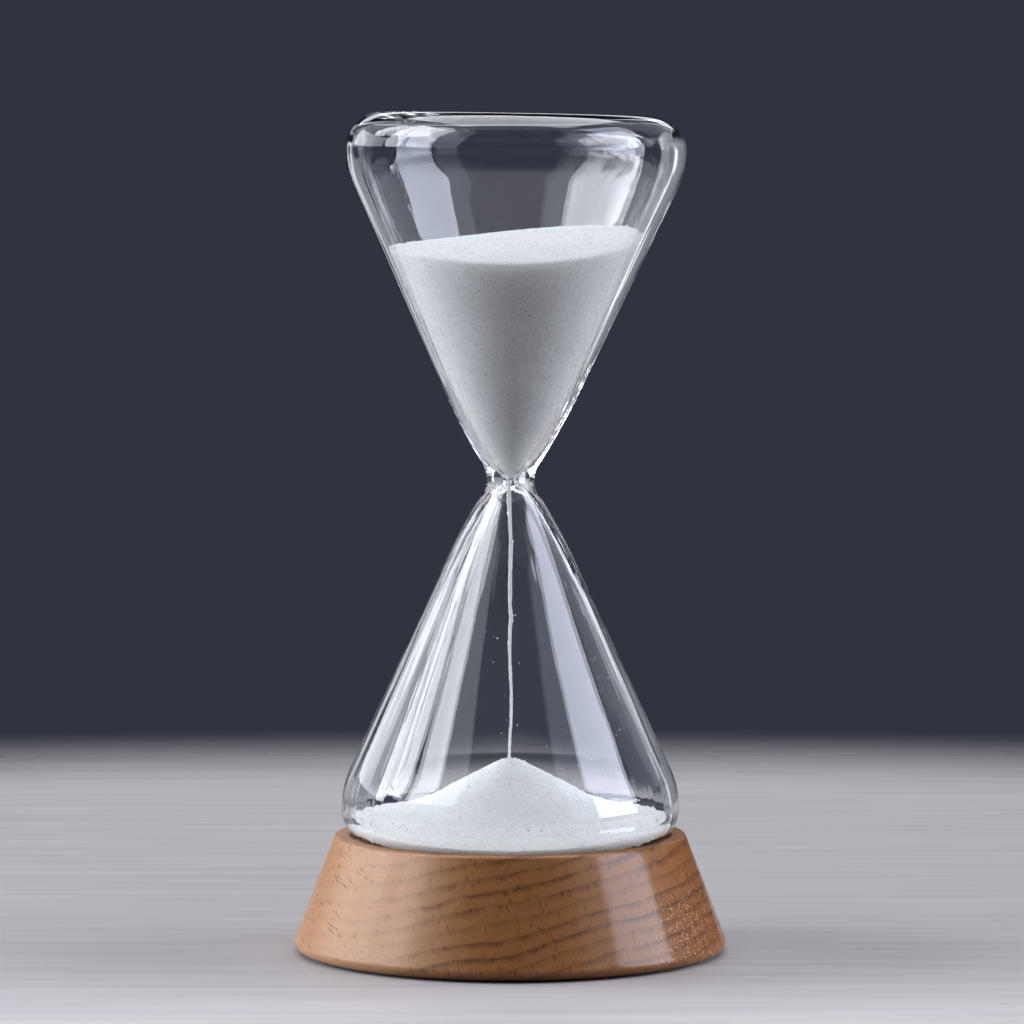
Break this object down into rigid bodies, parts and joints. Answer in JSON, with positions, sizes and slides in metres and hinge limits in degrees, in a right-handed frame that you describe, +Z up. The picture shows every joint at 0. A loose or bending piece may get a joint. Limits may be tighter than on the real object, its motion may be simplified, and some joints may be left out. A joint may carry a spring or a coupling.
{
  "type": "hourglass",
  "caption": "Frameless hourglass: conical blown-glass bulbs with flat ends and a pinched waist, white sand running through, standing loose in a flared turned wooden base.",
  "frame": {"origin": "on the table surface, under the middle of the base", "axes": "+Z up along the axis of the glass, -Y towards the viewer of the picture, +X to the viewer's right"},
  "size_m": [0.09, 0.09, 0.1747],
  "materials": {
    "beech": "turned beech under a clear satin varnish",
    "felt": "dark pressed felt",
    "clear_glass": "clear flame-worked borosilicate, smooth with faint waviness",
    "sand": "fine white sand with bright grains"
  },
  "bodies": {
    "base": {"wooden_base": "beech", "base_pad": "felt"},
    "glass": {"glass_body": "clear_glass", "fill_seal": "clear_glass", "upper_sand": "sand", "sand_stream": "sand", "lower_sand": "sand"}
  },
  "joints": [
    {"name": "glass_lift", "type": "slide", "parent": "base", "child": "glass", "axis": [0, 0, 1], "range_m": [0, 0.12]}
  ]
}
